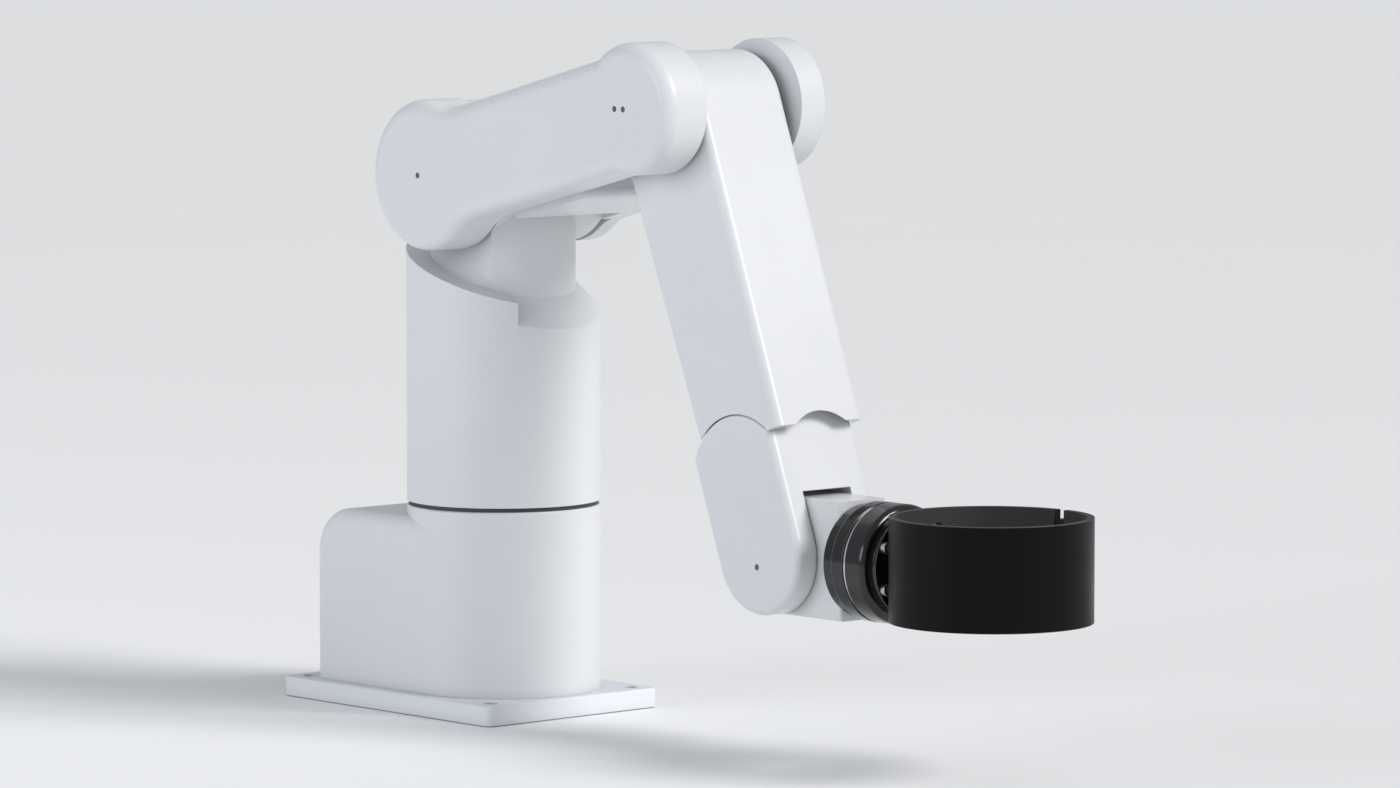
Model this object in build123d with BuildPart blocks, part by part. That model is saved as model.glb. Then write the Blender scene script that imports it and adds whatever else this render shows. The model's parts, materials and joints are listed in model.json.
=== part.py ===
from build123d import *

import os
from math import atan2, cos, hypot, radians, sin

# Small white six-axis robot arm with a cuff clamp on its wrist, in millimetres.
# The origin is on the mounting face, on the axis of the first joint.  +X is the
# way the arm points, +Y its left-hand side and +Z up.

# ---- driving dimensions ------------------------------------------------------
PLATE_LENGTH = 199.0
PLATE_WIDTH = 137.0
PLATE_THICKNESS = 12.0
PLATE_CENTRE_X = -33.5
BOLT_SPACING_X = 174.0
BOLT_SPACING_Y = 112.0
BOLT_HOLE_R = 4.5

COLUMN_R = 59.5
WALL = 6.0
BOX_BACK = -112.0
BOX_TOP = 119.5
BASE_TOP = 126.0
COLUMN_BOTTOM = 128.5

SLOPE = 0.34  # fall of the column's sloping top, per unit of X
SHOULDER_EDGE_Z = 257.0
NECK_EDGE_Z = 270.0
SEAT_Z = 270.5
NECK_R = 44.5
SEAT_Y = -34.0
BARREL_END_Y = 52.0
CAVITY_STEP_Z = 222.0  # the hollow narrows here, under the shoulder

SHOULDER_Z = 330.0
ELBOW_X = 188.0
ELBOW_Z = 376.5
WRIST_X = 267.0
WRIST_Z = 118.0

ARM_INNER_Y = -36.0
ARM_OUTER_Y = -68.0
SHOULDER_R = 46.0
ELBOW_R = 39.0
ARM_HALF = 34.0

YOKE_SHOULDER_R = 45.0  # the far side of the upper arm
YOKE_ELBOW_R = 39.0
YOKE_SHOULDER_Y = 72.0
YOKE_ELBOW_Y = 60.0
YOKE_INNER_Y = 45.0
YOKE_ELBOW_INNER_Y = 38.5
YOKE_SHOULDER_INNER_Y = 54.5
YOKE_HALF = 38.0
WEB_SHOULDER_R = 58.0  # the web between the two sides clears the barrel
WEB_ELBOW_R = 88.0  # and lets the forearm fold

FOREARM_LEAN = 20.3  # degrees from upright
FOREARM_HALF = 34.0
FOREARM_FRONT = 28.5  # in front of the elbow axis
FOREARM_BACK_TOP = -47.0  # behind it, at the elbow
FOREARM_BACK_END = -41.5  # and at the roll joint
FOREARM_CORNER = 5.0
FOREARM_END = 203.5  # distance from the elbow axis, along the forearm
DOME_CENTRE = 226.5  # the roll joint's seam is part of a sphere
DOME_R = 52.5
DOME_TOP = 180.8
SEAM_GAP = 0.8

WRIST_HALF = 35.0
PLUG_Z = 111.5
CHEEK_INNER = 19.0
CLEVIS_R = 45.0
TILT_HALF_WIDTH = 18.0
TILT_HALF_HEIGHT = 35.0
TILT_FRONT_X = 321.4

FLANGE_X = 322.0
SENSOR_R = 35.0
CUFF_X = 427.0
CUFF_OUTER_R = 58.5
CUFF_INNER_R = 55.5
LINER_INNER_R = 54.0
CUFF_Z = 121.5
CUFF_HEIGHT = 60.0
CUFF_GAP = 6.0

FIT = 0.1  # radial running clearance of every joint's spigot
GAP = 0.3  # clearance at a seal's face

# ---- frames ------------------------------------------------------------------
ARM_LENGTH = hypot(ELBOW_X, ELBOW_Z - SHOULDER_Z)
ARM_ANGLE = atan2(ELBOW_Z - SHOULDER_Z, ELBOW_X)
ARM_DIR = Vector(cos(ARM_ANGLE), 0, sin(ARM_ANGLE))
FORE_DIR = Vector(sin(radians(FOREARM_LEAN)), 0, -cos(radians(FOREARM_LEAN)))
FRONT_DIR = Vector(cos(radians(FOREARM_LEAN)), 0, sin(radians(FOREARM_LEAN)))
ELBOW = Vector(ELBOW_X, 0, ELBOW_Z)
WRIST_DISTANCE = (Vector(WRIST_X, 0, WRIST_Z) - ELBOW).dot(FORE_DIR)
ROLL_OFFSET = (Vector(WRIST_X, 0, WRIST_Z) - ELBOW).dot(FRONT_DIR)
SLOPE_ANGLE = atan2(SLOPE, 1)
MIN_Z = (Align.CENTER, Align.CENTER, Align.MIN)


def arm_plane(y):
    """Plane of the upper arm's outline; X runs to the elbow, normal is -Y."""
    return Plane(origin=(0, y, SHOULDER_Z), x_dir=ARM_DIR, z_dir=(0, -1, 0))


def fore_plane(y):
    """Plane of the forearm's outline; X runs to the wrist, Y to the front."""
    return Plane(origin=(ELBOW_X, y, ELBOW_Z), x_dir=FORE_DIR, z_dir=(0, -1, 0))


def roll_plane(distance, offset=ROLL_OFFSET):
    """Plane square to the forearm, centred on the roll axis unless offset."""
    origin = ELBOW + FORE_DIR * distance + FRONT_DIR * offset
    return Plane(origin=origin, x_dir=(0, 1, 0), z_dir=FORE_DIR)


def slope_plane(height):
    """Plane that falls towards +X and crosses the column's axis at a height."""
    direction = (cos(SLOPE_ANGLE), 0, -sin(SLOPE_ANGLE))
    return Plane(origin=(0, 0, height), x_dir=direction, z_dir=(SLOPE, 0, 1))


def along_forearm(edge):
    """How far an edge's centre is from the elbow axis, along the forearm."""
    return (edge.center() - ELBOW).dot(FORE_DIR)


def disc_z(x, y, radius, low, high, mode=Mode.ADD):
    """A cylinder along Z."""
    with Locations((x, y, low)):
        Cylinder(radius, high - low, align=MIN_Z, mode=mode)


def disc_y(x, z, radius, low, high, mode=Mode.ADD):
    """A cylinder along Y."""
    with Locations(Plane(origin=(x, high, z), z_dir=(0, -1, 0))):
        Cylinder(radius, high - low, align=MIN_Z, mode=mode)


def disc_x(y, z, radius, low, high, mode=Mode.ADD):
    """A cylinder along X."""
    with Locations(Plane(origin=(low, y, z), z_dir=(1, 0, 0))):
        Cylinder(radius, high - low, align=MIN_Z, mode=mode)


def disc_roll(radius, low, high, mode=Mode.ADD):
    """A cylinder along the forearm."""
    with Locations(roll_plane(low)):
        Cylinder(radius, high - low, align=MIN_Z, mode=mode)


def save(part, name):
    """Label one sub-part and write its STEP file."""
    part.label = name
    export_step(part, f"parts/{name}.step")


def domed_end(radius, low):
    """Half-space of the wrist: a sphere round the roll axis, cut off flat."""
    with Locations(roll_plane(DOME_CENTRE)):
        Sphere(radius)
    disc_roll(60, DOME_CENTRE, DOME_CENTRE + 90)
    disc_roll(60, DOME_CENTRE - 60, low, Mode.SUBTRACT)


os.makedirs("parts", exist_ok=True)

# ---- base: plate, housing and what the housing holds ---------------------------
BOSSES = [(-98.5, 46), (-98.5, -46), (20, 44), (20, -44)]

with BuildPart() as base_plate:
    with BuildSketch():
        with Locations((PLATE_CENTRE_X, 0)):
            RectangleRounded(PLATE_LENGTH, PLATE_WIDTH, 5)
    extrude(amount=PLATE_THICKNESS)
    fillet(base_plate.faces().sort_by(Axis.Z)[-1].edges(), 1.2)
    with Locations((PLATE_CENTRE_X, 0, PLATE_THICKNESS)):
        with GridLocations(BOLT_SPACING_X, BOLT_SPACING_Y, 2, 2):
            Hole(BOLT_HOLE_R)
    for x, y in BOSSES:
        disc_z(x, y, 2.6, 0, PLATE_THICKNESS, Mode.SUBTRACT)
        disc_z(x, y, 4.8, 0, 5.2, Mode.SUBTRACT)

with BuildPart() as base_housing:
    with BuildSketch(Plane.XZ.offset(-COLUMN_R)):
        with BuildLine():
            Polyline(
                (0, PLATE_THICKNESS),
                (BOX_BACK, PLATE_THICKNESS),
                (BOX_BACK, BOX_TOP),
                (0, BOX_TOP),
                close=True,
            )
        make_face()
    extrude(amount=2 * COLUMN_R)
    top_back = base_housing.edges().filter_by(Axis.Y).group_by(Axis.X)[0].sort_by(Axis.Z)[-1]
    fillet(top_back, 28)
    sides = base_housing.faces().filter_by(Axis.Y).edges()
    fillet([e for e in sides if e.center().X < -1 and e.center().Z > PLATE_THICKNESS + 1], 8)
    disc_z(0, 0, COLUMN_R, PLATE_THICKNESS, BASE_TOP)
    fillet(base_housing.faces().sort_by(Axis.Z)[-1].edges(), 1)
    with Locations(((BOX_BACK + WALL) / 2, 0, PLATE_THICKNESS)):
        Box(
            -BOX_BACK - WALL,
            2 * (COLUMN_R - WALL),
            78,
            align=MIN_Z,
            mode=Mode.SUBTRACT,
        )
    disc_z(0, 0, COLUMN_R - WALL, PLATE_THICKNESS, BASE_TOP - WALL, Mode.SUBTRACT)
    disc_z(0, 0, 46, BASE_TOP - WALL, BASE_TOP, Mode.SUBTRACT)
    with Locations((BOX_BACK + WALL / 2, 0, 60)):
        Box(WALL + 2, 76, 52, mode=Mode.SUBTRACT)
    for x, y in BOSSES:
        disc_z(x, y, 8.5, PLATE_THICKNESS, PLATE_THICKNESS + 20)
        disc_z(x, y, 2.5, PLATE_THICKNESS, PLATE_THICKNESS + 14, Mode.SUBTRACT)
    for y in (-43, 43):
        for z in (33, 87):
            disc_x(y, z, 1.5, BOX_BACK, BOX_BACK + 5, Mode.SUBTRACT)

with BuildPart() as housing_screws:
    for x, y in BOSSES:
        disc_z(x, y, 4.5, 0.4, 5.2)
        disc_z(x, y, 2.45, 5.2, PLATE_THICKNESS + 12)
        disc_z(x, y, 2, 0.4, 2.6, Mode.SUBTRACT)

PANEL_X = BOX_BACK - 2.5
POWER_PLACE = (20, 72)
SIGNAL_PLACE = (-18, 72)
PORT_PLACES = [(28, 46), (12, 46)]
EARTH_PLACE = (-28, 46)

with BuildPart() as rear_panel:
    with BuildSketch(Plane(origin=(BOX_BACK, 0, 60), x_dir=(0, -1, 0), z_dir=(-1, 0, 0))):
        RectangleRounded(94, 64, 4)
    extrude(amount=2.5)
    chamfer(rear_panel.faces().sort_by(Axis.X)[0].edges(), 0.5)
    for y in (-43, 43):
        for z in (33, 87):
            disc_x(y, z, 1.7, PANEL_X, BOX_BACK, Mode.SUBTRACT)
    disc_x(*POWER_PLACE, 10, PANEL_X, BOX_BACK, Mode.SUBTRACT)
    disc_x(*SIGNAL_PLACE, 8, PANEL_X, BOX_BACK, Mode.SUBTRACT)
    disc_x(*EARTH_PLACE, 2.5, PANEL_X, BOX_BACK, Mode.SUBTRACT)
    for y, z in PORT_PLACES:
        disc_x(y, z, 4, PANEL_X, BOX_BACK, Mode.SUBTRACT)

with BuildPart() as panel_screws:
    for y in (-43, 43):
        for z in (33, 87):
            disc_x(y, z, 2.75, PANEL_X - 2.4, PANEL_X)
            disc_x(y, z, 1.45, PANEL_X, BOX_BACK + 4.5)
            disc_x(y, z, 1.25, PANEL_X - 2.4, PANEL_X - 1.2, Mode.SUBTRACT)


def socket(place, body_r, flange, depth):
    """A round chassis socket: square flange, shell outside and body inside."""
    y, z = place
    with Locations((PANEL_X - 1, y, z)):
        Box(2, flange, flange)
    fillet(faces().sort_by(Axis.X)[0].edges().filter_by(Axis.X, reverse=True), 0.4)
    disc_x(y, z, body_r, PANEL_X - depth, PANEL_X - 2)
    disc_x(y, z, body_r - 1.6, PANEL_X - depth, PANEL_X - 3, Mode.SUBTRACT)
    disc_x(y, z, body_r - 0.1, PANEL_X - 2, BOX_BACK + 16)
    for side in (-1, 1):
        for step in (-1, 0, 1):
            reach = PANEL_X - depth + 3
            disc_x(y + step * body_r / 3, z + side * body_r / 3, 0.8, reach, PANEL_X - 2)


with BuildPart() as power_socket:
    socket(POWER_PLACE, 10, 26, 13)

with BuildPart() as signal_socket:
    socket(SIGNAL_PLACE, 8, 21, 11)

with BuildPart() as air_fittings:
    for y, z in PORT_PLACES:
        disc_x(y, z, 5.5, PANEL_X - 4, PANEL_X)
        disc_x(y, z, 4.6, PANEL_X - 12, PANEL_X - 4)
        disc_x(y, z, 3.9, PANEL_X, BOX_BACK + 12)
        disc_x(y, z, 2, PANEL_X - 12, BOX_BACK + 12, Mode.SUBTRACT)

with BuildPart() as earth_stud:
    y, z = EARTH_PLACE
    with BuildSketch(Plane(origin=(PANEL_X, y, z), x_dir=(0, -1, 0), z_dir=(-1, 0, 0))):
        RegularPolygon(4, 6)
    extrude(amount=3.2)
    disc_x(y, z, 2.4, PANEL_X - 9, BOX_BACK + 8)

with BuildPart() as j1_motor:
    with BuildSketch(Plane.XY.offset(28)):
        RectangleRounded(60, 60, 6)
    extrude(amount=52)
    chamfer(j1_motor.faces().sort_by(Axis.Z)[0].edges(), 2)
    disc_z(0, 0, 42, 80, 88)

with BuildPart() as j1_reducer:
    disc_z(0, 0, 45.9, 88, BASE_TOP)
    disc_z(0, 0, 52, 110, BASE_TOP - WALL)
    disc_z(0, 0, 36 + FIT, 118, BASE_TOP, Mode.SUBTRACT)
    disc_z(0, 0, 12, 88, 118, Mode.SUBTRACT)

with BuildPart() as j1_seal:
    disc_z(0, 0, COLUMN_R - 1.3, BASE_TOP, COLUMN_BOTTOM - GAP)
    disc_z(0, 0, 48, BASE_TOP, COLUMN_BOTTOM - GAP, Mode.SUBTRACT)

# ---- column: turns on the base and carries the shoulder -------------------------
with BuildPart() as seat_cutter:
    with BuildSketch(slope_plane(SEAT_Z)):
        with Locations((0, SEAT_Y - 40)):
            Rectangle(260, 80)
    extrude(amount=120)
    lower = seat_cutter.edges().filter_by(lambda e: abs(e.center().Y - SEAT_Y) < 0.1)
    fillet(lower.sort_by(Axis.Z)[0], 10)

with BuildPart() as seat_block:
    with BuildSketch(Plane.XY.offset(200)):
        Circle(COLUMN_R)
        with Locations((0, SEAT_Y + 3 + 50)):
            Rectangle(200, 100, mode=Mode.SUBTRACT)
    extrude(amount=120)
    split(bisect_by=slope_plane(SEAT_Z), keep=Keep.BOTTOM)

with BuildPart() as column_shell:
    disc_z(0, 0, COLUMN_R, COLUMN_BOTTOM, SHOULDER_Z)
    split(bisect_by=slope_plane(SHOULDER_EDGE_Z), keep=Keep.BOTTOM)
    with BuildSketch(slope_plane(SHOULDER_EDGE_Z)):
        Ellipse(COLUMN_R / cos(SLOPE_ANGLE), COLUMN_R)
    with BuildSketch(slope_plane(NECK_EDGE_Z)):
        Ellipse(NECK_R / cos(SLOPE_ANGLE), NECK_R)
    loft(ruled=True)
    disc_z(0, 0, NECK_R, NECK_EDGE_Z - 40, SHOULDER_Z)
    disc_y(0, SHOULDER_Z, NECK_R, SEAT_Y, BARREL_END_Y)
    add(seat_block.part)
    add(seat_cutter.part, mode=Mode.SUBTRACT)
    fillet(column_shell.faces().sort_by(Axis.Y)[-1].edges(), 1.5)
    disc_z(0, 0, 52, COLUMN_BOTTOM + 8, CAVITY_STEP_Z, Mode.SUBTRACT)
    with BuildSketch(Plane.XY.offset(CAVITY_STEP_Z)):
        Circle(37)
        with Locations((0, SEAT_Y + WALL - 50)):
            Rectangle(100, 100, mode=Mode.SUBTRACT)
    extrude(amount=SHOULDER_Z - CAVITY_STEP_Z, mode=Mode.SUBTRACT)
    disc_z(0, 0, 36.2, COLUMN_BOTTOM, COLUMN_BOTTOM + 8, Mode.SUBTRACT)
    disc_y(0, SHOULDER_Z, 38, SEAT_Y + 6, BARREL_END_Y, Mode.SUBTRACT)
    disc_y(0, SHOULDER_Z, 34, SEAT_Y, SEAT_Y + 6, Mode.SUBTRACT)

with BuildPart() as j1_output_hub:
    disc_z(0, 0, 36, 118.5, COLUMN_BOTTOM + 14)
    disc_z(0, 0, 49, COLUMN_BOTTOM + 8, COLUMN_BOTTOM + 14)
    disc_z(0, 0, 10, 118.5, COLUMN_BOTTOM + 14, Mode.SUBTRACT)
    with Locations((0, 0, COLUMN_BOTTOM + 14)):
        with PolarLocations(42.5, 8):
            CounterBoreHole(2.2, 4, 4)

with BuildPart() as j2_seal:
    disc_y(0, SHOULDER_Z, 42, ARM_INNER_Y + GAP, SEAT_Y)
    disc_y(0, SHOULDER_Z, 36, ARM_INNER_Y + GAP, SEAT_Y, Mode.SUBTRACT)

with BuildPart() as j2_reducer:
    disc_y(0, SHOULDER_Z, 33.9, SEAT_Y, SEAT_Y + 6)
    disc_y(0, SHOULDER_Z, 37.9, SEAT_Y + 6, -4)
    disc_y(0, SHOULDER_Z, 28 + FIT, SEAT_Y, SEAT_Y + 10, Mode.SUBTRACT)
    disc_y(0, SHOULDER_Z, 9, SEAT_Y + 10, -4, Mode.SUBTRACT)

with BuildPart() as j2_motor:
    disc_y(0, SHOULDER_Z, 36, -4, 4)
    disc_y(0, SHOULDER_Z, 29, 4, 38)
    disc_y(0, SHOULDER_Z, 25, 38, 44)
    chamfer(j2_motor.faces().sort_by(Axis.Y)[-1].edges(), 2)


def ring_places(x, z, y, radius, count):
    """Locations on a circle round a Y axis, facing out along +Y."""
    places = []
    for step in range(count):
        turn = radians(45 + 360 * step / count)
        origin = (x + radius * cos(turn), y, z + radius * sin(turn))
        places.append(Plane(origin=origin, z_dir=(0, 1, 0)))
    return places


def cap_screw_set(x, z, end_y, radius, count):
    """Socket screws sunk in the outer face of a round cap."""
    for place in ring_places(x, z, end_y, radius, count):
        with Locations(place.offset(-3.2)):
            Cylinder(2.75, 3, align=MIN_Z)
        with Locations(place.offset(-3.9)):
            Cylinder(1.45, 0.7, align=MIN_Z)
        with Locations(place.offset(-1.6)):
            Cylinder(1.3, 1.6, align=MIN_Z, mode=Mode.SUBTRACT)


with BuildPart() as barrel_end_cover:
    disc_y(0, SHOULDER_Z, 43, BARREL_END_Y, BARREL_END_Y + 2)
    disc_y(0, SHOULDER_Z, 37.9, BARREL_END_Y - 5, BARREL_END_Y)
    disc_y(0, SHOULDER_Z, 15, BARREL_END_Y + 2, 65)
    chamfer(barrel_end_cover.faces().sort_by(Axis.Y)[-1].edges(), 1)
    disc_y(0, SHOULDER_Z, 6, BARREL_END_Y - 5, 65, Mode.SUBTRACT)

# ---- upper arm: a yoke, with one casting on each side of the column ---------------
WEB_MIDDLE = (WEB_SHOULDER_R + ARM_LENGTH - WEB_ELBOW_R) / 2
WEB_SCREWS = []
for along in (WEB_MIDDLE - 23, WEB_MIDDLE + 23):
    for across in (-29, 29):
        spot = arm_plane(0).from_local_coords(Vector(along, across, 0))
        WEB_SCREWS.append((spot.X, spot.Z))

with BuildPart() as upper_arm_casting:
    with BuildSketch(arm_plane(ARM_INNER_Y)) as arm_outline:
        Circle(SHOULDER_R)
        with Locations((ARM_LENGTH, 0)):
            Circle(ELBOW_R)
        with Locations((ARM_LENGTH / 2, 0)):
            Rectangle(ARM_LENGTH, 2 * ARM_HALF)
        near = arm_outline.vertices().filter_by_position(Axis.X, 5, 45)
        far = arm_outline.vertices().filter_by_position(Axis.X, ARM_LENGTH - 30, ARM_LENGTH)
        fillet(near, 34)
        fillet(far, 40)
    extrude(amount=ARM_INNER_Y - ARM_OUTER_Y)
    fillet(upper_arm_casting.faces().sort_by(Axis.Y)[0].edges(), 9)
    fillet(upper_arm_casting.faces().sort_by(Axis.Y)[-1].edges(), 1.5)
    with BuildSketch(arm_plane(YOKE_INNER_Y)) as web:
        with Locations((ARM_LENGTH / 2, 0)):
            Rectangle(ARM_LENGTH, 2 * YOKE_HALF)
        Circle(WEB_SHOULDER_R, mode=Mode.SUBTRACT)
        with Locations((ARM_LENGTH, 0)):
            Circle(WEB_ELBOW_R, mode=Mode.SUBTRACT)
        fillet(web.vertices(), 4)
    extrude(amount=YOKE_INNER_Y - ARM_INNER_Y + 2)
    with BuildSketch(arm_plane(YOKE_INNER_Y)):
        with Locations((WEB_MIDDLE, 0)):
            RectangleRounded(30, 50, 6)
    extrude(amount=YOKE_INNER_Y - ARM_OUTER_Y - 7, mode=Mode.SUBTRACT)
    for x, z in WEB_SCREWS:
        disc_y(x, z, 2.5, YOKE_INNER_Y - 14, YOKE_INNER_Y, Mode.SUBTRACT)
    disc_y(0, SHOULDER_Z, 1.8, ARM_OUTER_Y, ARM_OUTER_Y + 4, Mode.SUBTRACT)
    disc_y(ELBOW_X, ELBOW_Z, 1.8, ARM_OUTER_Y, ARM_OUTER_Y + 4, Mode.SUBTRACT)
    disc_y(ELBOW_X - 7.5, ELBOW_Z, 1.8, ARM_OUTER_Y, ARM_OUTER_Y + 4, Mode.SUBTRACT)

with BuildPart() as axis_plugs:
    for x, z in ((0, SHOULDER_Z), (ELBOW_X, ELBOW_Z), (ELBOW_X - 7.5, ELBOW_Z)):
        disc_y(x, z, 1.75, ARM_OUTER_Y + 0.3, ARM_OUTER_Y + 4)

with BuildPart() as j2_output_hub:
    disc_y(0, SHOULDER_Z, 28, ARM_INNER_Y, SEAT_Y + 9.5)
    with Locations(*ring_places(0, SHOULDER_Z, SEAT_Y + 9.5, 21, 8)):
        CounterBoreHole(2, 3.6, 3.5)

with BuildPart() as yoke_casting:
    with BuildSketch(arm_plane(YOKE_SHOULDER_Y)) as yoke_outline:
        Circle(YOKE_SHOULDER_R)
        with Locations((ARM_LENGTH, 0)):
            Circle(YOKE_ELBOW_R)
        with Locations((ARM_LENGTH / 2, 0)):
            Rectangle(ARM_LENGTH, 2 * YOKE_HALF)
        near = yoke_outline.vertices().filter_by_position(Axis.X, 5, 45)
        fillet(near, 34)
    extrude(amount=YOKE_SHOULDER_Y - YOKE_ELBOW_INNER_Y)
    outer_face = Plane(
        origin=ELBOW + Vector(0, YOKE_ELBOW_Y, 0),
        x_dir=(-ARM_LENGTH, YOKE_SHOULDER_Y - YOKE_ELBOW_Y, 0),
        z_dir=(YOKE_SHOULDER_Y - YOKE_ELBOW_Y, ARM_LENGTH, 0),
    )
    split(bisect_by=outer_face, keep=Keep.BOTTOM)
    fillet(yoke_casting.faces().sort_by(Axis.Y)[-1].edges(), 6)
    with BuildSketch(arm_plane(YOKE_INNER_Y)):
        Rectangle(2 * ARM_LENGTH + 100, 200)
        with Locations((ARM_LENGTH, 0)):
            Circle(YOKE_ELBOW_R, mode=Mode.SUBTRACT)
    extrude(amount=20, mode=Mode.SUBTRACT)
    disc_y(0, SHOULDER_Z, 49, 30, YOKE_SHOULDER_INNER_Y, Mode.SUBTRACT)
    disc_y(0, SHOULDER_Z, 24, YOKE_SHOULDER_INNER_Y, 66, Mode.SUBTRACT)
    disc_y(0, SHOULDER_Z, 30, 66, YOKE_SHOULDER_Y, Mode.SUBTRACT)
    disc_y(ELBOW_X, ELBOW_Z, 20, YOKE_ELBOW_INNER_Y, 54, Mode.SUBTRACT)
    disc_y(ELBOW_X, ELBOW_Z, 26, 54, YOKE_SHOULDER_Y, Mode.SUBTRACT)
    for x, z in WEB_SCREWS:
        disc_y(x, z, 2.7, YOKE_INNER_Y, 57, Mode.SUBTRACT)
        disc_y(x, z, 4.6, 57, YOKE_SHOULDER_Y, Mode.SUBTRACT)

with BuildPart() as yoke_screws:
    for x, z in WEB_SCREWS:
        disc_y(x, z, 2.4, YOKE_INNER_Y - 12, 57)
        disc_y(x, z, 4.3, 57, 61.5)
        disc_y(x, z, 2, 59, 61.5, Mode.SUBTRACT)

with BuildPart() as shoulder_bearing:
    disc_y(0, SHOULDER_Z, 24, YOKE_SHOULDER_INNER_Y + 1, 66)
    disc_y(0, SHOULDER_Z, 15 + FIT, YOKE_SHOULDER_INNER_Y + 1, 66, Mode.SUBTRACT)

with BuildPart() as shoulder_end_cap:
    disc_y(0, SHOULDER_Z, 29.8, 66, YOKE_SHOULDER_Y)
    fillet(shoulder_end_cap.faces().sort_by(Axis.Y)[-1].edges(), 0.8)
    with Locations(*ring_places(0, SHOULDER_Z, YOKE_SHOULDER_Y, 25, 4)):
        CounterBoreHole(1.5, 2.9, 3.2)

with BuildPart() as shoulder_cap_screws:
    cap_screw_set(0, SHOULDER_Z, YOKE_SHOULDER_Y, 25, 4)

with BuildPart() as elbow_bearing:
    disc_y(ELBOW_X, ELBOW_Z, 20, YOKE_ELBOW_INNER_Y + 1, 54)
    disc_y(ELBOW_X, ELBOW_Z, 12 + FIT, YOKE_ELBOW_INNER_Y + 1, 54, Mode.SUBTRACT)

with BuildPart() as elbow_end_cap:
    disc_y(ELBOW_X, ELBOW_Z, 25.8, 54, YOKE_ELBOW_Y)
    fillet(elbow_end_cap.faces().sort_by(Axis.Y)[-1].edges(), 0.8)
    with Locations(*ring_places(ELBOW_X, ELBOW_Z, YOKE_ELBOW_Y, 21, 4)):
        CounterBoreHole(1.5, 2.9, 3.2)

with BuildPart() as elbow_cap_screws:
    cap_screw_set(ELBOW_X, ELBOW_Z, YOKE_ELBOW_Y, 21, 4)

with BuildPart() as j3_output_hub:
    disc_y(ELBOW_X, ELBOW_Z, 14, ARM_INNER_Y, -FOREARM_HALF + 9.5)
    with Locations(*ring_places(ELBOW_X, ELBOW_Z, -FOREARM_HALF + 9.5, 9.5, 6)):
        CounterBoreHole(1.6, 3, 3)

# ---- forearm: square tube from the elbow to the roll joint ------------------------
MOTOR_SEAT = DOME_TOP - SEAM_GAP - 10

with BuildPart() as dome_recess:
    domed_end(DOME_R + SEAM_GAP, DOME_TOP - SEAM_GAP)

with BuildPart() as dome:
    domed_end(DOME_R, DOME_TOP)

HEAD_R = (FOREARM_FRONT - FOREARM_BACK_TOP) / 2
HEAD_OFFSET = (FOREARM_FRONT + FOREARM_BACK_TOP) / 2

with BuildPart() as forearm_casting:
    with BuildSketch(fore_plane(FOREARM_HALF)):
        with Locations((2, HEAD_OFFSET)):
            Circle(HEAD_R)
        with BuildLine():
            Polyline(
                (2, FOREARM_FRONT),
                (FOREARM_END, FOREARM_FRONT),
                (FOREARM_END, FOREARM_BACK_END),
                (2, FOREARM_BACK_TOP),
                close=True,
            )
        make_face()
    extrude(amount=2 * FOREARM_HALF)
    outline = forearm_casting.faces().filter_by(Axis.Y).edges()
    fillet([e for e in outline if along_forearm(e) < FOREARM_END - 1], FOREARM_CORNER)
    disc_y(ELBOW_X, ELBOW_Z, 20, -28, FOREARM_HALF, Mode.SUBTRACT)
    disc_y(ELBOW_X, ELBOW_Z, 16.5, -FOREARM_HALF, -28, Mode.SUBTRACT)
    with BuildSketch(roll_plane(44, (FOREARM_FRONT + FOREARM_BACK_END) / 2)):
        RectangleRounded(56, 60, 4)
    extrude(amount=MOTOR_SEAT - 44, mode=Mode.SUBTRACT)
    disc_roll(10, 10, 44, Mode.SUBTRACT)
    disc_roll(19.1, MOTOR_SEAT, DOME_TOP, Mode.SUBTRACT)
    add(dome_recess.part, mode=Mode.SUBTRACT)

with BuildPart() as j3_seal:
    disc_y(ELBOW_X, ELBOW_Z, 17.8, ARM_INNER_Y + GAP, -FOREARM_HALF)
    disc_y(ELBOW_X, ELBOW_Z, 15.5, ARM_INNER_Y + GAP, -FOREARM_HALF, Mode.SUBTRACT)

with BuildPart() as j3_reducer:
    disc_y(ELBOW_X, ELBOW_Z, 16.4, -FOREARM_HALF, -28)
    disc_y(ELBOW_X, ELBOW_Z, 19.9, -28, -6)
    disc_y(ELBOW_X, ELBOW_Z, 14 + FIT, -FOREARM_HALF, -FOREARM_HALF + 10, Mode.SUBTRACT)
    disc_y(ELBOW_X, ELBOW_Z, 5, -FOREARM_HALF + 10, -6, Mode.SUBTRACT)

with BuildPart() as j3_motor:
    disc_y(ELBOW_X, ELBOW_Z, 19, -6, 0)
    disc_y(ELBOW_X, ELBOW_Z, 16.5, 0, 26)
    chamfer(j3_motor.faces().sort_by(Axis.Y)[-1].edges(), 2)

with BuildPart() as elbow_cover:
    disc_y(ELBOW_X, ELBOW_Z, 19.9, FOREARM_HALF - 5, FOREARM_HALF)
    disc_y(ELBOW_X, ELBOW_Z, 17.5, FOREARM_HALF, YOKE_ELBOW_INNER_Y + 0.5)
    disc_y(ELBOW_X, ELBOW_Z, 12, YOKE_ELBOW_INNER_Y + 0.5, 53)
    chamfer(elbow_cover.faces().sort_by(Axis.Y)[-1].edges(), 1)
    disc_y(ELBOW_X, ELBOW_Z, 5, FOREARM_HALF - 5, 53, Mode.SUBTRACT)

with BuildPart() as j4_motor:
    disc_roll(19.5, 66, 130)
    disc_roll(16, 58, 66)

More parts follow.
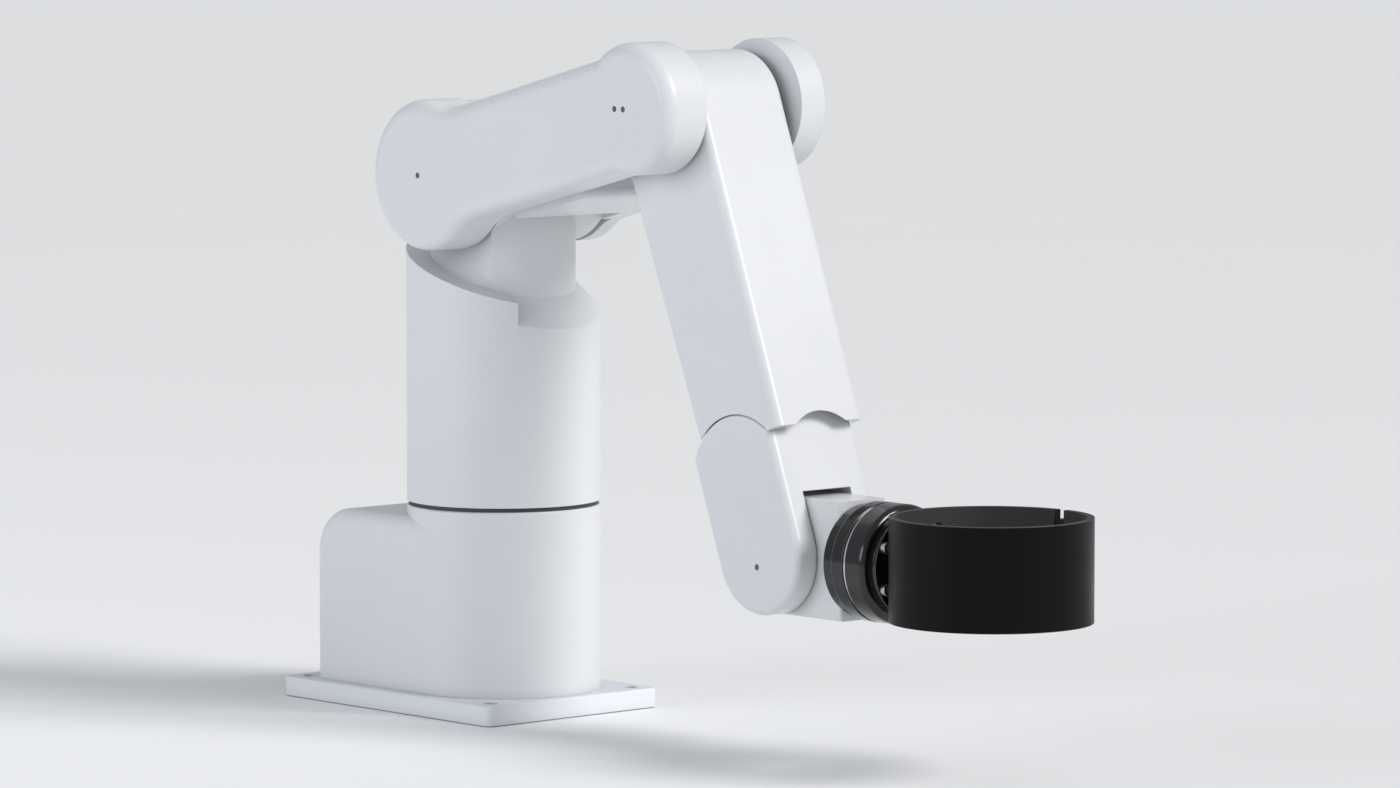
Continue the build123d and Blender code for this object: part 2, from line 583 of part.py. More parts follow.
with BuildPart() as j4_reducer:
    disc_roll(20.5, 130, MOTOR_SEAT)
    disc_roll(19, MOTOR_SEAT, DOME_TOP - SEAM_GAP)
    disc_roll(15 + FIT, MOTOR_SEAT, DOME_TOP - SEAM_GAP, Mode.SUBTRACT)
    disc_roll(6, 130, MOTOR_SEAT, Mode.SUBTRACT)

# ---- wrist: rolls on the forearm, its two cheeks carry the tilting body ----------
with BuildPart() as wrist_housing:
    with BuildSketch(fore_plane(FOREARM_HALF)):
        with Locations(((DOME_TOP - 1 + WRIST_DISTANCE) / 2, ROLL_OFFSET)):
            Rectangle(WRIST_DISTANCE - DOME_TOP + 1, 2 * WRIST_HALF)
        with Locations((WRIST_DISTANCE, ROLL_OFFSET)):
            Circle(WRIST_HALF)
    extrude(amount=2 * FOREARM_HALF)
    outline = wrist_housing.faces().filter_by(Axis.Y).edges()
    fillet([e for e in outline if along_forearm(e) > DOME_TOP], FOREARM_CORNER)
    add(dome.part, mode=Mode.INTERSECT)
    disc_y(WRIST_X, WRIST_Z, CLEVIS_R, -CHEEK_INNER, CHEEK_INNER, Mode.SUBTRACT)
    disc_roll(15, DOME_TOP, DOME_TOP + 12, Mode.SUBTRACT)
    disc_roll(9, DOME_TOP + 12, WRIST_DISTANCE - CLEVIS_R + 2, Mode.SUBTRACT)
    disc_y(WRIST_X, WRIST_Z, 25, 22, FOREARM_HALF, Mode.SUBTRACT)
    disc_y(WRIST_X, WRIST_Z, 20, CHEEK_INNER, 22, Mode.SUBTRACT)
    disc_y(WRIST_X, WRIST_Z, 14, -31, -CHEEK_INNER, Mode.SUBTRACT)
    disc_y(WRIST_X, PLUG_Z, 1.8, -FOREARM_HALF, -FOREARM_HALF + 2.5, Mode.SUBTRACT)

with BuildPart() as wrist_plug:
    disc_y(WRIST_X, PLUG_Z, 1.75, -FOREARM_HALF + 0.3, -FOREARM_HALF + 2.5)

with BuildPart() as j4_output_hub:
    disc_roll(15, MOTOR_SEAT + 0.5, DOME_TOP + 12)
    disc_roll(8, MOTOR_SEAT + 0.5, DOME_TOP + 12, Mode.SUBTRACT)

with BuildPart() as j5_drive_unit:
    disc_y(WRIST_X, WRIST_Z, 19.9, CHEEK_INNER, 22)
    disc_y(WRIST_X, WRIST_Z, 24.9, 22, 31)
    disc_y(WRIST_X, WRIST_Z, 14 + FIT, CHEEK_INNER, 28, Mode.SUBTRACT)

with BuildPart() as wrist_side_cover:
    disc_y(WRIST_X, WRIST_Z, 24.8, 31, FOREARM_HALF + 0.4)
    fillet(wrist_side_cover.faces().sort_by(Axis.Y)[-1].edges(), 0.8)
    with Locations(*ring_places(WRIST_X, WRIST_Z, FOREARM_HALF + 0.4, 20.5, 4)):
        CounterBoreHole(1.3, 2.4, 1.6)

with BuildPart() as side_cover_screws:
    for place in ring_places(WRIST_X, WRIST_Z, FOREARM_HALF + 0.4, 20.5, 4):
        with Locations(place.offset(-1.6)):
            Cylinder(2.3, 1.4, align=MIN_Z)
        with Locations(place.offset(-3.3)):
            Cylinder(1.2, 1.7, align=MIN_Z)

with BuildPart() as j5_bearing:
    disc_y(WRIST_X, WRIST_Z, 14, -31, -CHEEK_INNER)
    disc_y(WRIST_X, WRIST_Z, 8 + FIT, -31, -CHEEK_INNER, Mode.SUBTRACT)
    chamfer(j5_bearing.faces().sort_by(Axis.Y)[-1].edges(), 0.5)

# ---- tilting body between the cheeks ---------------------------------------------
with BuildPart() as tilt_body:
    with BuildSketch(Plane.XZ.offset(-TILT_HALF_WIDTH)):
        with Locations((WRIST_X, WRIST_Z)):
            Circle(TILT_HALF_HEIGHT)
        with Locations(((WRIST_X + TILT_FRONT_X) / 2, WRIST_Z)):
            Rectangle(TILT_FRONT_X - WRIST_X, 2 * TILT_HALF_HEIGHT)
    extrude(amount=2 * TILT_HALF_WIDTH)
    fillet(tilt_body.faces().filter_by(Axis.Y).edges(), 2)
    disc_x(0, WRIST_Z, 15, WRIST_X + 14, TILT_FRONT_X, Mode.SUBTRACT)
    disc_y(WRIST_X, WRIST_Z, 8 + FIT, -TILT_HALF_WIDTH, -8, Mode.SUBTRACT)
    disc_y(WRIST_X, WRIST_Z, 6 + FIT, 8, TILT_HALF_WIDTH, Mode.SUBTRACT)

with BuildPart() as j5_pivot_pin:
    disc_y(WRIST_X, WRIST_Z, 8, -30, -8)
    chamfer(j5_pivot_pin.faces().sort_by(Axis.Y)[0].edges(), 1)

with BuildPart() as j5_output_hub:
    disc_y(WRIST_X, WRIST_Z, 14, TILT_HALF_WIDTH, 27.5)
    disc_y(WRIST_X, WRIST_Z, 6, 8, TILT_HALF_WIDTH)

with BuildPart() as j6_drive_unit:
    disc_x(0, WRIST_Z, 14.9, WRIST_X + 14, TILT_FRONT_X - 0.6)
    disc_x(0, WRIST_Z, 10 + FIT, TILT_FRONT_X - 10, TILT_FRONT_X - 0.6, Mode.SUBTRACT)

# ---- tool: flange, force sensor and the cuff clamp --------------------------------
RING_X = FLANGE_X + 18
SENSOR_END_X = RING_X + 18
BRACKET_SCREWS = [(23, 12), (23, -12), (-23, 12), (-23, -12)]
SADDLE_SCREWS = [(9, 18), (9, -18), (-9, 18), (-9, -18)]
SADDLE_X = CUFF_X - CUFF_OUTER_R

with BuildPart() as tool_flange:
    disc_x(0, WRIST_Z, 33, FLANGE_X, FLANGE_X + 8)
    fillet(tool_flange.faces().sort_by(Axis.X)[0].edges(), 1)
    disc_x(0, WRIST_Z, 10, TILT_FRONT_X - 9.5, FLANGE_X)

with BuildPart() as force_sensor_body:
    disc_x(0, WRIST_Z, SENSOR_R, FLANGE_X + 8, RING_X)
    fillet(force_sensor_body.faces().sort_by(Axis.X)[0].edges(), 2)

with BuildPart() as force_sensor_ring:
    disc_x(0, WRIST_Z, SENSOR_R - 0.8, RING_X, RING_X + 2.5)

with BuildPart() as force_sensor_cap:
    disc_x(0, WRIST_Z, SENSOR_R, RING_X + 2.5, SENSOR_END_X)
    fillet(force_sensor_cap.faces().sort_by(Axis.X)[-1].edges(), 4)
    for y, z in BRACKET_SCREWS:
        disc_x(y, WRIST_Z + z, 2, SENSOR_END_X - 8, SENSOR_END_X, Mode.SUBTRACT)

with BuildPart() as cuff_bracket:
    disc_x(0, WRIST_Z, 30, SENSOR_END_X, SENSOR_END_X + 5)
    with Locations(((SENSOR_END_X + 5 + SADDLE_X + 3) / 2, 0, WRIST_Z)):
        Box(SADDLE_X + 3 - SENSOR_END_X - 5, 32, 54)
    disc_z(CUFF_X, 0, CUFF_OUTER_R, WRIST_Z - 40, WRIST_Z + 40, Mode.SUBTRACT)
    for y, z in BRACKET_SCREWS:
        disc_x(y, WRIST_Z + z, 2.2, SENSOR_END_X, SENSOR_END_X + 5, Mode.SUBTRACT)
    for y, z in SADDLE_SCREWS:
        disc_x(y, CUFF_Z + z, 1.6, SENSOR_END_X + 2, SADDLE_X + 3, Mode.SUBTRACT)

with BuildPart() as bracket_screws:
    for y, z in BRACKET_SCREWS:
        disc_x(y, WRIST_Z + z, 1.95, SENSOR_END_X - 7, SENSOR_END_X + 5)
        disc_x(y, WRIST_Z + z, 3.5, SENSOR_END_X + 5, SENSOR_END_X + 8.5)
        disc_x(y, WRIST_Z + z, 1.5, SENSOR_END_X + 6.5, SENSOR_END_X + 8.5, Mode.SUBTRACT)

LOW_Z = CUFF_Z - CUFF_HEIGHT / 2
HIGH_Z = CUFF_Z + CUFF_HEIGHT / 2
EAR_SCREW_Y = 67
EAR_T = 4
EAR_INNER = CUFF_GAP / 2
EAR_OUTER = EAR_INNER + EAR_T

with BuildPart() as cuff_band:
    disc_z(CUFF_X, 0, CUFF_OUTER_R, LOW_Z, HIGH_Z)
    for side in (-1, 1):
        with Locations((CUFF_X + side * (EAR_INNER + EAR_T / 2), 65, CUFF_Z)):
            Box(EAR_T, 18, 48)
    disc_z(CUFF_X, 0, CUFF_INNER_R, LOW_Z, HIGH_Z, Mode.SUBTRACT)
    with Locations((CUFF_X, 60, CUFF_Z)):
        Box(CUFF_GAP, 40, CUFF_HEIGHT + 2, mode=Mode.SUBTRACT)
    for z in (-14, 14):
        disc_x(EAR_SCREW_Y, CUFF_Z + z, 2.7, CUFF_X - 9, CUFF_X + 9, Mode.SUBTRACT)
    for y, z in SADDLE_SCREWS:
        disc_x(y, CUFF_Z + z, 1.8, SADDLE_X - 1, SADDLE_X + 6, Mode.SUBTRACT)
        disc_x(y, CUFF_Z + z, 3.4, SADDLE_X + 2.4, SADDLE_X + 6, Mode.SUBTRACT)

with BuildPart() as cuff_liner:
    disc_z(CUFF_X, 0, CUFF_INNER_R, LOW_Z, HIGH_Z)
    disc_z(CUFF_X, 0, LINER_INNER_R, LOW_Z, HIGH_Z, Mode.SUBTRACT)
    with Locations((CUFF_X, 55, CUFF_Z)):
        Box(CUFF_GAP + 2, 20, CUFF_HEIGHT + 2, mode=Mode.SUBTRACT)
    for y, z in SADDLE_SCREWS:
        disc_x(y, CUFF_Z + z, 3.8, SADDLE_X, SADDLE_X + 8, Mode.SUBTRACT)

with BuildPart() as saddle_screws:
    for y, z in SADDLE_SCREWS:
        disc_x(y, CUFF_Z + z, 1.55, SENSOR_END_X + 3, SADDLE_X + 2.4)
        disc_x(y, CUFF_Z + z, 3.1, SADDLE_X + 2.4, SADDLE_X + 3.8)

with BuildPart() as clamp_screws:
    for z in (-14, 14):
        disc_x(EAR_SCREW_Y, CUFF_Z + z, 4.2, CUFF_X + EAR_OUTER, CUFF_X + EAR_OUTER + 5)
        disc_x(EAR_SCREW_Y, CUFF_Z + z, 2.5, CUFF_X - 14, CUFF_X + EAR_OUTER)
        disc_x(
            EAR_SCREW_Y,
            CUFF_Z + z,
            2,
            CUFF_X + EAR_OUTER + 2.5,
            CUFF_X + EAR_OUTER + 5,
            Mode.SUBTRACT,
        )

with BuildPart() as clamp_nuts:
    for z in (-14, 14):
        place = Plane(
            origin=(CUFF_X - EAR_OUTER, EAR_SCREW_Y, CUFF_Z + z),
            x_dir=(0, 1, 0),
            z_dir=(-1, 0, 0),
        )
        with BuildSketch(place):
            RegularPolygon(4.6, 6)
            Circle(2.55, mode=Mode.SUBTRACT)
        extrude(amount=4)

# ---- write every sub-part ----------------------------------------------------------
PARTS = {
    "base_plate": base_plate,
    "base_housing": base_housing,
    "housing_screws": housing_screws,
    "rear_panel": rear_panel,
    "panel_screws": panel_screws,
    "power_socket": power_socket,
    "signal_socket": signal_socket,
    "air_fittings": air_fittings,
    "earth_stud": earth_stud,
    "j1_motor": j1_motor,
    "j1_reducer": j1_reducer,
    "j1_seal": j1_seal,
    "column_shell": column_shell,
    "j1_output_hub": j1_output_hub,
    "j2_seal": j2_seal,
    "j2_reducer": j2_reducer,
    "j2_motor": j2_motor,
    "barrel_end_cover": barrel_end_cover,
    "upper_arm_casting": upper_arm_casting,
    "axis_plugs": axis_plugs,
    "yoke_casting": yoke_casting,
    "yoke_screws": yoke_screws,
    "shoulder_bearing": shoulder_bearing,
    "shoulder_end_cap": shoulder_end_cap,
    "shoulder_cap_screws": shoulder_cap_screws,
    "elbow_bearing": elbow_bearing,
    "elbow_end_cap": elbow_end_cap,
    "elbow_cap_screws": elbow_cap_screws,
    "j2_output_hub": j2_output_hub,
    "j3_output_hub": j3_output_hub,
    "forearm_casting": forearm_casting,
    "j3_seal": j3_seal,
    "j3_reducer": j3_reducer,
    "j3_motor": j3_motor,
    "elbow_cover": elbow_cover,
    "j4_motor": j4_motor,
    "j4_reducer": j4_reducer,
    "wrist_housing": wrist_housing,
    "wrist_plug": wrist_plug,
    "j4_output_hub": j4_output_hub,
    "j5_drive_unit": j5_drive_unit,
    "wrist_side_cover": wrist_side_cover,
    "side_cover_screws": side_cover_screws,
    "j5_bearing": j5_bearing,
    "tilt_body": tilt_body,
    "j5_pivot_pin": j5_pivot_pin,
    "j5_output_hub": j5_output_hub,
    "j6_drive_unit": j6_drive_unit,
    "tool_flange": tool_flange,
    "force_sensor_body": force_sensor_body,
    "force_sensor_ring": force_sensor_ring,
    "force_sensor_cap": force_sensor_cap,
    "cuff_bracket": cuff_bracket,
    "bracket_screws": bracket_screws,
    "cuff_band": cuff_band,
    "cuff_liner": cuff_liner,
    "saddle_screws": saddle_screws,
    "clamp_screws": clamp_screws,
    "clamp_nuts": clamp_nuts,
}
for name, piece in PARTS.items():
    save(piece.part, name)
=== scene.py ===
"""Looks for the small white robot arm: finishes, small turned details, light and camera."""

import json
import math

import bmesh
import bpy
from mathutils import Matrix, Vector


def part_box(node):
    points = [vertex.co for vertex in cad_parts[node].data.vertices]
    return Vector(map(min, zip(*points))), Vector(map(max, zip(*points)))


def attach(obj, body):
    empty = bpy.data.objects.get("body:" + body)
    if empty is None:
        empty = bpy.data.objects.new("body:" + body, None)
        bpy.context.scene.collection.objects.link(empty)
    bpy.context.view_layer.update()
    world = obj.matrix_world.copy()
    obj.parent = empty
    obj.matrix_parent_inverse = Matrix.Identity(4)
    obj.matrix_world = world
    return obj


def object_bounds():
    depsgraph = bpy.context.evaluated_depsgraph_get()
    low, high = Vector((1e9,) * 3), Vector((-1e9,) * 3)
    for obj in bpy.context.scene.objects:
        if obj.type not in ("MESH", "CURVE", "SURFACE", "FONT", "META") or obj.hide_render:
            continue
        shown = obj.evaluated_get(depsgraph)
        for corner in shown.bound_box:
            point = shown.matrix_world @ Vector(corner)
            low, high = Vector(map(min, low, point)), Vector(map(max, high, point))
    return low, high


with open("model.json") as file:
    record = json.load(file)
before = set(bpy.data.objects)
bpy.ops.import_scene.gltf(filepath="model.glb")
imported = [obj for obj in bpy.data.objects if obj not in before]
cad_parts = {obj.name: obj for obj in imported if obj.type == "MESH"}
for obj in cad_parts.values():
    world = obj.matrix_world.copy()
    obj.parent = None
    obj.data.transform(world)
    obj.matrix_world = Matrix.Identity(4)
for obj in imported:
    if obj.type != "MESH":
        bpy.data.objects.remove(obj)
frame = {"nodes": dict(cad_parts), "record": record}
cad_low, cad_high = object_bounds()
scene = bpy.context.scene
scene.view_settings.view_transform = "Standard"

EDGE_RAYS = 6  # rays a shader uses to find near edges and grooves
GROOVE_SHADE_COLOUR = (0.09, 0.09, 0.10)  # the colour painted into grooves and gaps as shade
DRAWN = (1, 12, 12)  # drawn lines run along X
ALONG_X = (1, 0, 0)

SOCKET_RADII = {"power_socket": 0.010, "signal_socket": 0.008}
THREAD_START = 0.0008  # from the socket's outer end
THREAD_LENGTH = 0.0085
THREAD_PITCH = 0.0011
THREAD_DEPTH = 0.00055
THREAD_ROOT = 0.00005  # above the sleeve it is cut in
SLEEVE_WALL = 0.0003
COLLET_INSET = 0.0055  # from the pair's ends to each fitting's axis
COLLET = [  # (distance from the fitting's outer end, radius)
    (-0.0009, 0.0022),
    (-0.0009, 0.0034),
    (-0.0005, 0.0038),
    (0.0003, 0.0038),
    (0.0003, 0.0022),
]
O_RING_RADIUS = 0.0331
O_RING_HALF = 0.0007
O_RING_TURNS = 96

FLOOR_HALF = 12
FLOOR_Z = -0.0005
CAMERA_PLACE = (3.118, -2.652, 0.559)
CAMERA_AIM = (0.180, 0.0, 0.205)
LENS = 172


# ---- node helpers ----------------------------------------------------------------
class Nodes:
    """A material's node tree, with short calls to add and join nodes."""

    def __init__(self, name):
        self.material = bpy.data.materials.new(name)
        self.material.use_nodes = True
        self.tree = self.material.node_tree
        self.shader = self.tree.nodes["Principled BSDF"]
        self.place = self.add("ShaderNodeTexCoord").outputs["Object"]

    def add(self, kind, **settings):
        node = self.tree.nodes.new(kind)
        for key, value in settings.items():
            setattr(node, key, value)
        return node

    def link(self, output, socket):
        self.tree.links.new(output, socket)

    def noise(self, scale, detail, stretch=None):
        """Noise over the surface, in cells per metre, drawn out along an axis if asked."""
        node = self.add("ShaderNodeTexNoise")
        node.inputs["Scale"].default_value = scale
        node.inputs["Detail"].default_value = detail
        where = self.place
        if stretch:
            mapping = self.add("ShaderNodeMapping")
            mapping.inputs["Scale"].default_value = stretch
            self.link(self.place, mapping.inputs["Vector"])
            where = mapping.outputs["Vector"]
        self.link(where, node.inputs["Vector"])
        return node.outputs["Fac"]

    def span(self, value, low, high, start=0.3, end=0.7):
        """Maps a value in start..end to low..high."""
        node = self.add("ShaderNodeMapRange")
        node.inputs["From Min"].default_value = start
        node.inputs["From Max"].default_value = end
        node.inputs["To Min"].default_value = low
        node.inputs["To Max"].default_value = high
        self.link(value, node.inputs["Value"])
        return node.outputs["Result"]

    def mix(self, factor, a, b):
        """Mixes two colours, each an output or a plain colour."""
        node = self.add("ShaderNodeMix", data_type="RGBA")
        self.link(factor, node.inputs["Factor"])
        for value, socket in ((a, node.inputs[6]), (b, node.inputs[7])):
            if isinstance(value, bpy.types.NodeSocket):
                self.link(value, socket)
            else:
                socket.default_value = (*value, 1)
        return node.outputs[2]

    def rounded_edges(self, radius):
        """A normal rounded at sharp edges, and how near a point is to such an edge."""
        bevel = self.add("ShaderNodeBevel", samples=EDGE_RAYS)
        bevel.inputs["Radius"].default_value = radius
        geometry = self.add("ShaderNodeNewGeometry")
        dot = self.add("ShaderNodeVectorMath", operation="DOT_PRODUCT")
        self.link(bevel.outputs["Normal"], dot.inputs[0])
        self.link(geometry.outputs["Normal"], dot.inputs[1])
        return bevel.outputs["Normal"], self.span(dot.outputs["Value"], 1.0, 0.0, 0.82, 0.995)

    def bump(self, height, strength, depth, normal=None):
        node = self.add("ShaderNodeBump")
        node.inputs["Strength"].default_value = strength
        node.inputs["Distance"].default_value = depth
        self.link(height, node.inputs["Height"])
        if normal:
            self.link(normal, node.inputs["Normal"])
        return node.outputs["Normal"]

    def shadowed(self, colour, reach, amount):
        """Darkens a colour in grooves and gaps: painted shade, where less light reaches."""
        node = self.add("ShaderNodeAmbientOcclusion", samples=EDGE_RAYS)
        node.inputs["Distance"].default_value = reach
        painted_shade_mask = self.span(node.outputs["AO"], 1.0, 0.0, 0.15, 0.75)
        scaled = self.add("ShaderNodeMath", operation="MULTIPLY")
        self.link(painted_shade_mask, scaled.inputs[0])
        scaled.inputs[1].default_value = amount
        return self.mix(scaled.outputs["Value"], colour, GROOVE_SHADE_COLOUR)


def coated(
    name,
    colour,
    rough,
    grain=1100,
    depth=0.00006,
    edge=1.04,
    coat=0.0,
    shade=0.35,
    specular=0.5,
):
    """Powder coat, wet paint or anodising: orange peel, uneven gloss, edges painted lighter as
    a highlight, and painted shade in grooves.
    """
    n = Nodes(name)
    normal, near_edge = n.rounded_edges(0.0007)
    darker = [c * 0.965 for c in colour]
    # edges painted lighter: a painted highlight along the rims
    lighter = [min(1.0, c * edge + (edge - 1) * 0.25) for c in colour]
    base = n.mix(n.span(n.noise(9, 4), 0.0, 1.0), darker, colour)
    base = n.mix(near_edge, base, lighter)
    base = n.shadowed(base, 0.012, shade)
    n.link(base, n.shader.inputs["Base Color"])
    n.link(n.span(n.noise(38, 5), rough * 0.86, rough * 1.16), n.shader.inputs["Roughness"])
    n.link(n.bump(n.noise(grain, 2), 0.35, depth, normal), n.shader.inputs["Normal"])
    n.shader.inputs["Specular IOR Level"].default_value = specular
    n.shader.inputs["Coat Weight"].default_value = coat
    n.shader.inputs["Coat Roughness"].default_value = 0.12
    return n.material


def turned(name, colour, rough, centre, spread):
    """Lathe-turned metal: fine rings round an axis along X through centre."""
    n = Nodes(name)
    normal, near_edge = n.rounded_edges(0.0004)
    mapping = n.add("ShaderNodeMapping")
    mapping.inputs["Location"].default_value = [-c for c in centre]
    n.link(n.place, mapping.inputs["Vector"])
    rings = n.add("ShaderNodeTexWave", wave_type="RINGS", rings_direction="X")
    rings.inputs["Scale"].default_value = spread
    rings.inputs["Distortion"].default_value = 1.5
    rings.inputs["Detail"].default_value = 3
    n.link(mapping.outputs["Vector"], rings.inputs["Vector"])
    base = n.mix(n.span(n.noise(60, 4), 0.0, 1.0), [c * 0.9 for c in colour], colour)
    # edges painted brighter: a painted glint along the rims
    base = n.mix(near_edge, base, [min(1.0, c * 1.12) for c in colour])
    n.link(base, n.shader.inputs["Base Color"])
    n.shader.inputs["Metallic"].default_value = 1.0
    n.link(n.span(n.noise(180, 3), rough * 0.8, rough * 1.25), n.shader.inputs["Roughness"])
    n.link(n.bump(rings.outputs["Fac"], 0.15, 0.00003, normal), n.shader.inputs["Normal"])
    return n.material


def plated(name, colour, rough):
    """Drawn or plated metal: fine drawn lines, uneven gloss and brighter edges."""
    n = Nodes(name)
    normal, near_edge = n.rounded_edges(0.0003)
    base = n.mix(n.span(n.noise(120, 4), 0.0, 1.0), [c * 0.86 for c in colour], colour)
    # edges painted brighter: a painted glint along the rims
    base = n.mix(near_edge, base, [min(1.0, c * 1.2) for c in colour])
    base = n.shadowed(base, 0.004, 0.4)
    n.link(base, n.shader.inputs["Base Color"])
    n.shader.inputs["Metallic"].default_value = 1.0
    lines = n.noise(420, 3, DRAWN)
    n.link(n.span(lines, rough * 0.75, rough * 1.35), n.shader.inputs["Roughness"])
    n.link(n.bump(lines, 0.2, 0.00003, normal), n.shader.inputs["Normal"])
    return n.material


def moulded(name, colour, rough, grain, depth):
    """Moulded plastic or rubber: fine spark-eroded grain and slightly uneven gloss."""
    n = Nodes(name)
    normal, near_edge = n.rounded_edges(0.0005)
    base = n.mix(n.span(n.noise(25, 4), 0.0, 1.0), [c * 0.93 for c in colour], colour)
    # edges painted lighter: a painted sheen along the rims
    base = n.mix(near_edge, base, [min(1.0, c * 1.08 + 0.004) for c in colour])
    base = n.shadowed(base, 0.006, 0.35)
    n.link(base, n.shader.inputs["Base Color"])
    n.link(n.span(n.noise(70, 4), rough * 0.9, rough * 1.1), n.shader.inputs["Roughness"])
    n.link(n.bump(n.noise(grain, 3), 0.5, depth, normal), n.shader.inputs["Normal"])
    return n.material


# ---- finishes, by the record's material slots -------------------------------------
sensor_low, sensor_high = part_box("force_sensor_ring")
sensor_centre = (sensor_low + sensor_high) / 2

FINISHES = {
    "white_paint": coated("white_powder_coat", (0.74, 0.75, 0.775), 0.38, coat=0.12),
    "plate_paint": coated("white_plate_coat", (0.80, 0.82, 0.86), 0.42, coat=0.05),
    # the arm's white paint again, set a little darker: painted shade on the tilt block
    "tilt_paint": coated("white_tilt_coat", (0.72, 0.73, 0.75), 0.34, coat=0.15, shade=0.2),
    "cap_plastic": moulded("white_moulding", (0.76, 0.77, 0.79), 0.46, 2600, 0.00005),
    "plug_plastic": moulded("dark_plug", (0.10, 0.10, 0.12), 0.5, 2600, 0.00005),
    "dark_panel": coated("dark_panel_paint", (0.05, 0.05, 0.055), 0.55, 1500, 0.00012, 1.15),
    "socket_metal": plated("socket_plating", (0.42, 0.43, 0.45), 0.34),
    "brass_fitting": plated("turned_brass", (0.72, 0.56, 0.29), 0.28),
    "motor_shell": coated("motor_black", (0.04, 0.04, 0.045), 0.5, 1300, 0.00010, 1.1),
    "reducer_steel": plated("ground_steel", (0.52, 0.53, 0.55), 0.3),
    "seal_rubber": moulded("seal_rubber_black", (0.045, 0.05, 0.055), 0.62, 1800, 0.00008),
    "screw_steel": plated("screw_zinc", (0.58, 0.59, 0.61), 0.3),
    "bare_aluminium": turned("turned_aluminium", (0.80, 0.81, 0.83), 0.2, sensor_centre, 1500),
    "black_anodised": coated(
        "black_anodising",
        (0.007, 0.007, 0.008),
        0.15,
        grain=1800,
        depth=0.00003,
        edge=1.6,
        coat=0.3,
        shade=0.0,
        specular=0.4,
    ),
    "cuff_black": coated(
        "cuff_powder_coat",
        (0.003, 0.0033, 0.0036),
        0.36,
        grain=1000,
        depth=0.0001,
        edge=1.5,
        specular=0.1,
    ),
    "liner_rubber": moulded("liner_rubber_black", (0.025, 0.025, 0.027), 0.7, 1500, 0.00012),
}

for part in frame["record"]["subparts"]:
    node = frame["nodes"][part["node"]]
    node.data.materials.clear()
    node.data.materials.append(FINISHES[part["material_slot"]])


# ---- small turned details ----------------------------------------------------------
def lathe(name, profile, centre, body, slot, turns=72):
    """Spins a closed profile of (distance, radius) points, in metres, round the X axis."""
    mesh = bpy.data.meshes.new(name)
    bm = bmesh.new()
    rings = []
    for step in range(turns):
        angle = 2 * math.pi * step / turns
        ring = [bm.verts.new((r * math.cos(angle), r * math.sin(angle), a)) for a, r in profile]
        rings.append(ring)
    count = len(profile)
    for step in range(turns):
        here, there = rings[step], rings[(step + 1) % turns]
        for k in range(count):
            after = (k + 1) % count
            bm.faces.new((here[k], there[k], there[after], here[after]))
    bmesh.ops.recalc_face_normals(bm, faces=bm.faces)
    bm.to_mesh(mesh)
    bm.free()
    mesh.shade_smooth()
    piece = bpy.data.objects.new(name, mesh)
    scene.collection.objects.link(piece)
    turn = Vector((0, 0, 1)).rotation_difference(Vector(ALONG_X)).to_matrix().to_4x4()
    piece.matrix_world = Matrix.Translation(centre) @ turn
    mesh.materials.append(FINISHES[slot])
    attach(piece, body)


def bead_profile(radius, half, points=10):
    """A small round bead's section."""
    turns = [2 * math.pi * k / points for k in range(points)]
    return [(half * math.cos(t), radius + half * math.sin(t)) for t in turns]


def thread_profile(sleeve):
    """The section of a threaded sleeve, as ridges on a thin tube."""
    points = []
    ridges = int(THREAD_LENGTH / THREAD_PITCH)
    for k in range(ridges):
        start = k * THREAD_PITCH
        points += [
            (start, sleeve + THREAD_ROOT),
            (start + THREAD_PITCH * 0.35, sleeve + THREAD_DEPTH),
            (start + THREAD_PITCH * 0.65, sleeve + THREAD_DEPTH),
        ]
    end = ridges * THREAD_PITCH
    points += [(end, sleeve + THREAD_ROOT), (end, sleeve - SLEEVE_WALL)]
    return points + [(0, sleeve - SLEEVE_WALL)]


for node, radius in SOCKET_RADII.items():
    low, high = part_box(node)
    start = Vector((low.x + THREAD_START, (low.y + high.y) / 2, (low.z + high.z) / 2))
    lathe(f"{node}_thread", thread_profile(radius), start, "base", "socket_metal")

low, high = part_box("air_fittings")
for k, y in enumerate((low.y + COLLET_INSET, high.y - COLLET_INSET)):
    end = Vector((low.x, y, (low.z + high.z) / 2))
    lathe(f"air_collet_{k + 1}", COLLET, end, "base", "plug_plastic")

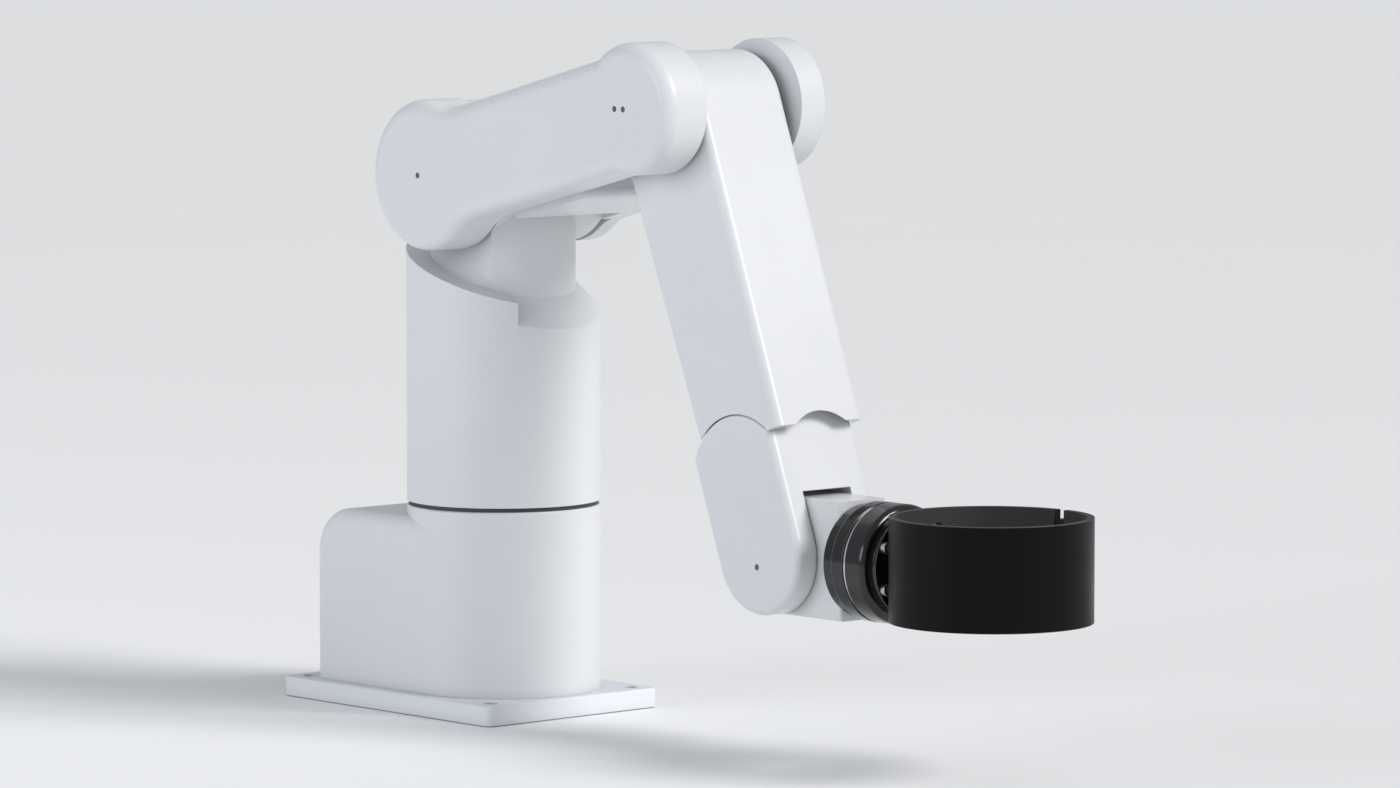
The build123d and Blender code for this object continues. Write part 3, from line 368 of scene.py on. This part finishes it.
flange_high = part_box("tool_flange")[1]
groove = Vector((flange_high.x, sensor_centre.y, sensor_centre.z))
o_ring = bead_profile(O_RING_RADIUS, O_RING_HALF)
lathe("sensor_o_ring", o_ring, groove, "tool", "seal_rubber", O_RING_TURNS)

# ---- floor, light and camera ---------------------------------------------------------
floor_mesh = bpy.data.meshes.new("floor")
corners = ((-1, -1), (1, -1), (1, 1), (-1, 1))
floor_mesh.from_pydata(
    [(x * FLOOR_HALF, y * FLOOR_HALF, FLOOR_Z) for x, y in corners], [], [(0, 1, 2, 3)]
)
floor = bpy.data.objects.new("floor", floor_mesh)
scene.collection.objects.link(floor)
pale = Nodes("pale_floor")
floor_colour = pale.mix(pale.noise(2, 3), (0.92, 0.925, 0.93), (0.94, 0.94, 0.945))
pale.link(floor_colour, pale.shader.inputs["Base Color"])
pale.shader.inputs["Roughness"].default_value = 0.7
floor_mesh.materials.append(pale.material)

world = bpy.data.worlds.new("studio")
scene.world = world
world.use_nodes = True
sky = world.node_tree.nodes["Background"]
sky.inputs["Color"].default_value = (0.93, 0.96, 1.0, 1)
sky.inputs["Strength"].default_value = 0.44


def turned_to(place, target):
    """The rotation that points a light or camera at a place towards a target."""
    return (Vector(target) - Vector(place)).to_track_quat("-Z", "Y").to_euler()


def lamp(name, kind, place, power, colour):
    """A light of a kind at a place, turned towards the middle of the arm."""
    light = bpy.data.lights.new(name, kind)
    light.energy = power
    light.color = colour
    holder = bpy.data.objects.new(name, light)
    scene.collection.objects.link(holder)
    holder.location = place
    holder.rotation_euler = turned_to(place, (cad_low + cad_high) / 2)
    return light


key = lamp("key", "SUN", (3.0, 1.1, 2.4), 2.15, (1.0, 0.99, 0.975))
key.angle = math.radians(24)
fill = lamp("near_fill", "AREA", (-0.6, -2.8, 1.1), 24, (0.91, 0.95, 1.0))
fill.shape = "RECTANGLE"
fill.size, fill.size_y = 1.8, 1.2

camera_data = bpy.data.cameras.new("camera")
camera_data.lens = LENS
camera_data.sensor_width = 36
camera = bpy.data.objects.new("camera", camera_data)
scene.collection.objects.link(camera)
camera.location = CAMERA_PLACE
camera.rotation_euler = turned_to(CAMERA_PLACE, CAMERA_AIM)
scene.camera = camera

bpy.context.view_layer.update()
